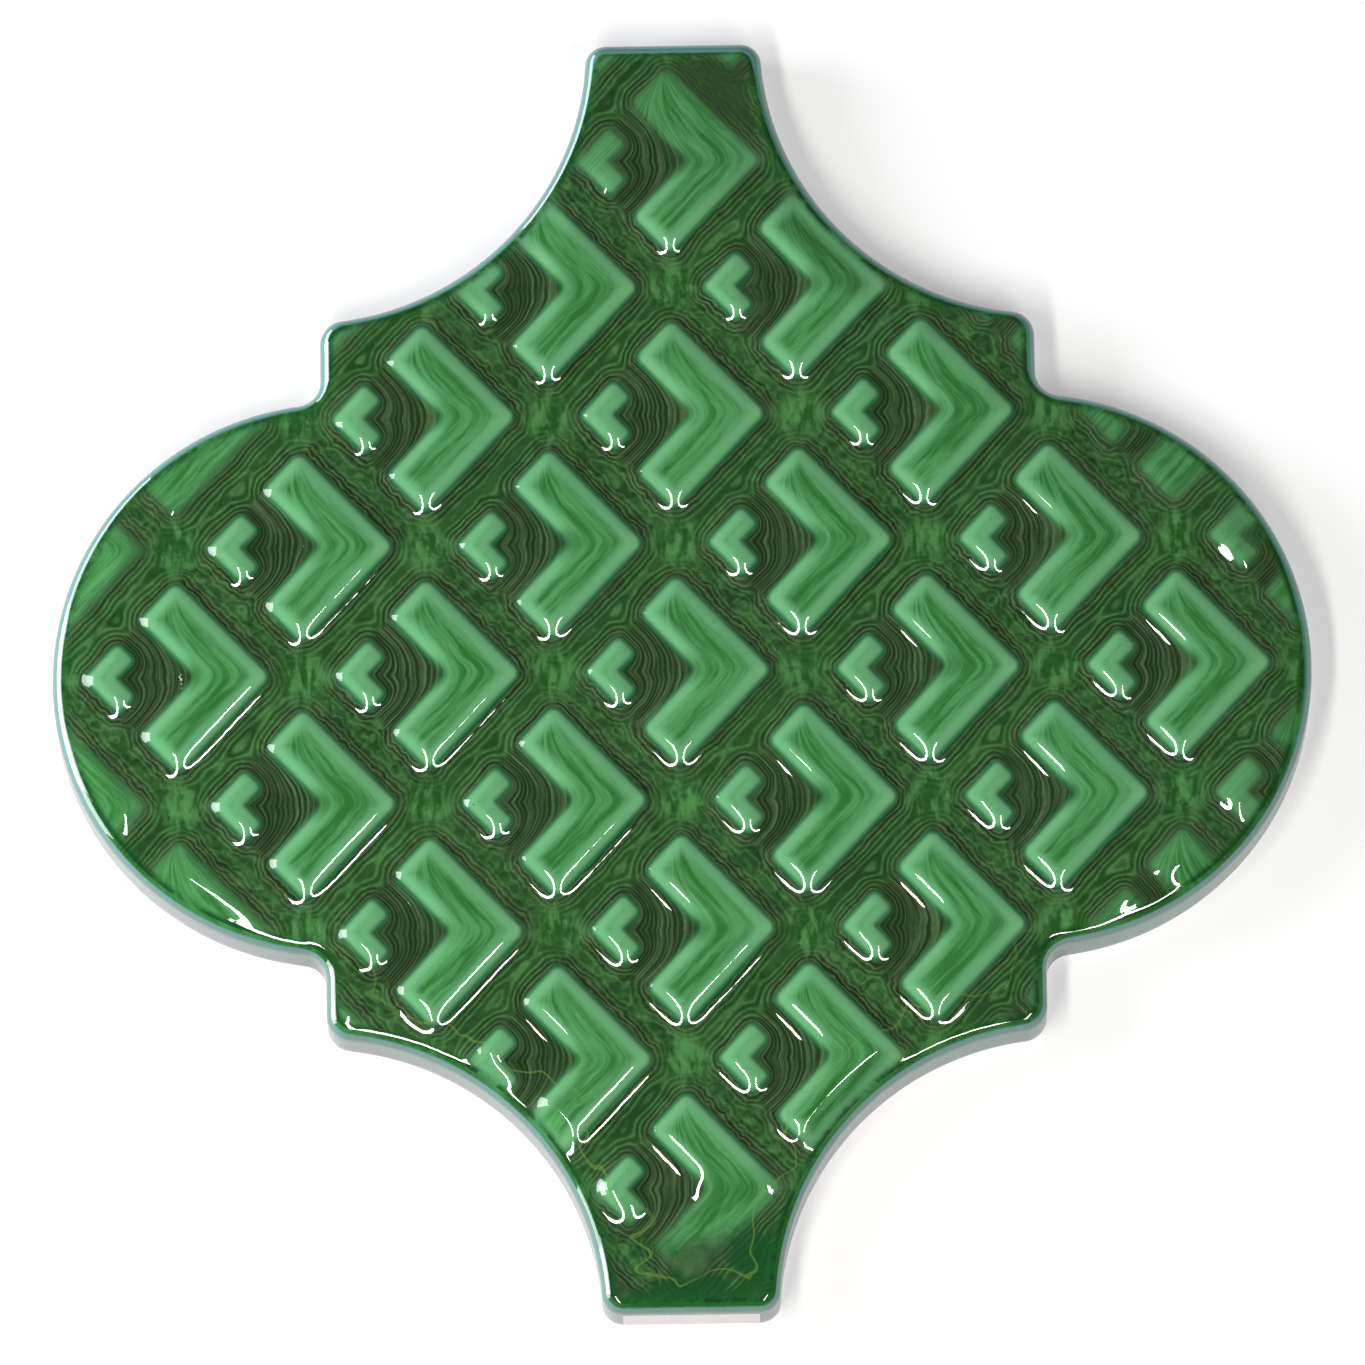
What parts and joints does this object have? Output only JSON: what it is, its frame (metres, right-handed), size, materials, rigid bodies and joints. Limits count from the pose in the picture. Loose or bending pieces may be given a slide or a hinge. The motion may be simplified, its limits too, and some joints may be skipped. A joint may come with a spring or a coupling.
{
  "type": "arabesque wall tile",
  "caption": "Lantern-shaped glazed ceramic wall tile with a raised chevron relief; lobes and hollows nest with neighbouring tiles, bedded on its flat back.",
  "frame": {"origin": "under the middle of the flat back, on the floor the tile lies on", "axes": "+Z out of the glazed face, +Y from neck to neck, +X the way the large chevrons point"},
  "size_m": [0.15, 0.155, 0.01],
  "materials": {
    "green_glaze": "glossy translucent green glaze, thinning to teal at the rim, on a white body"
  },
  "bodies": {
    "root": {"tile": "green_glaze"}
  },
  "joints": []
}
